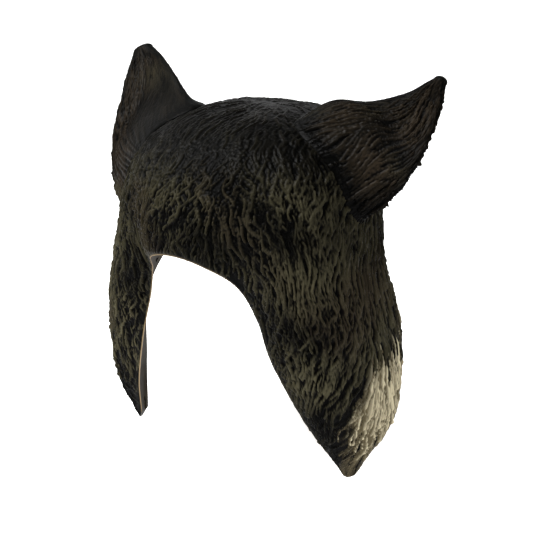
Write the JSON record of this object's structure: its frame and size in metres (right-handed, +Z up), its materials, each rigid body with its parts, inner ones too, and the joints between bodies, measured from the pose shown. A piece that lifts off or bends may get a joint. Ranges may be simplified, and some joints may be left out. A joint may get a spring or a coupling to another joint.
{
  "type": "open-faced latex animal hood",
  "caption": "Open-faced cowl of moulded furry latex with two upright ears and two long cheek flaps, held by an elastic strap.",
  "frame": {"origin": "point where the top of the wearer's head meets the inside of the crown, on the hood's centre line", "axes": "+Z up, -Y towards the wearer's front, +X towards the wearer's left"},
  "size_m": [0.2392, 0.1741, 0.2466],
  "materials": {
    "hood_latex": "satin, sculpted fur relief, airbrushed black over olive brown",
    "flap_latex": "satin, sculpted fur relief, black with a cream cheek patch",
    "ear_latex": "satin, sculpted long fur",
    "collar_latex": "satin, sculpted fur relief",
    "backing_foam": "matt, open-cell",
    "bare_latex": "satin, unpainted",
    "elastic": "matt, knitted elastic webbing",
    "steel": "nickel-plated, lightly scuffed",
    "plastic": "moulded, fine grain"
  },
  "bodies": {
    "hood": {"hood_skin": "hood_latex", "ear_root_left": "collar_latex", "ear_root_right": "collar_latex", "strap_band": "elastic", "strap_tab_left": "bare_latex", "strap_tab_right": "bare_latex", "strap_ring": "steel", "tab_rivet_left_low": "steel", "tab_rivet_left_high": "steel", "tab_rivet_right_low": "steel", "tab_rivet_right_high": "steel"},
    "cheek_left": {"cheek_left": "flap_latex"},
    "cheek_right": {"cheek_right": "flap_latex"},
    "ear_left": {"ear_shell_left": "ear_latex", "ear_core_left": "backing_foam"},
    "ear_right": {"ear_shell_right": "ear_latex", "ear_core_right": "backing_foam"},
    "slider": {"strap_slider": "plastic"}
  },
  "joints": [
    {"name": "cheek_left_fold", "type": "hinge", "parent": "hood", "child": "cheek_left", "pos_m": [0.09401, -0.01304, -0.10294], "axis": [0, -1, 0], "range_deg": [-5, 18], "stiffness_Nm_per_rad": 0.6},
    {"name": "cheek_right_fold", "type": "hinge", "parent": "hood", "child": "cheek_right", "pos_m": [-0.09463, -0.00687, -0.10169], "axis": [0, 1, 0], "range_deg": [-5, 18], "stiffness_Nm_per_rad": 0.6},
    {"name": "ear_left_flex", "type": "hinge", "parent": "hood", "child": "ear_left", "pos_m": [0.07349, -0.00738, -0.01535], "axis": [0.6111, 0.01, -0.7915], "range_deg": [-10, 10], "stiffness_Nm_per_rad": 0.5, "deforming": ["ear_root_left"]},
    {"name": "ear_right_flex", "type": "hinge", "parent": "hood", "child": "ear_right", "pos_m": [-0.07707, -0.0155, -0.02413], "axis": [0.5079, 0.1593, 0.8465], "range_deg": [-10, 10], "stiffness_Nm_per_rad": 0.5, "deforming": ["ear_root_right"]},
    {"name": "strap_slide", "type": "slide", "parent": "hood", "child": "slider", "axis": [1, 0, 0], "range_m": [-0.008, 0.008]}
  ]
}
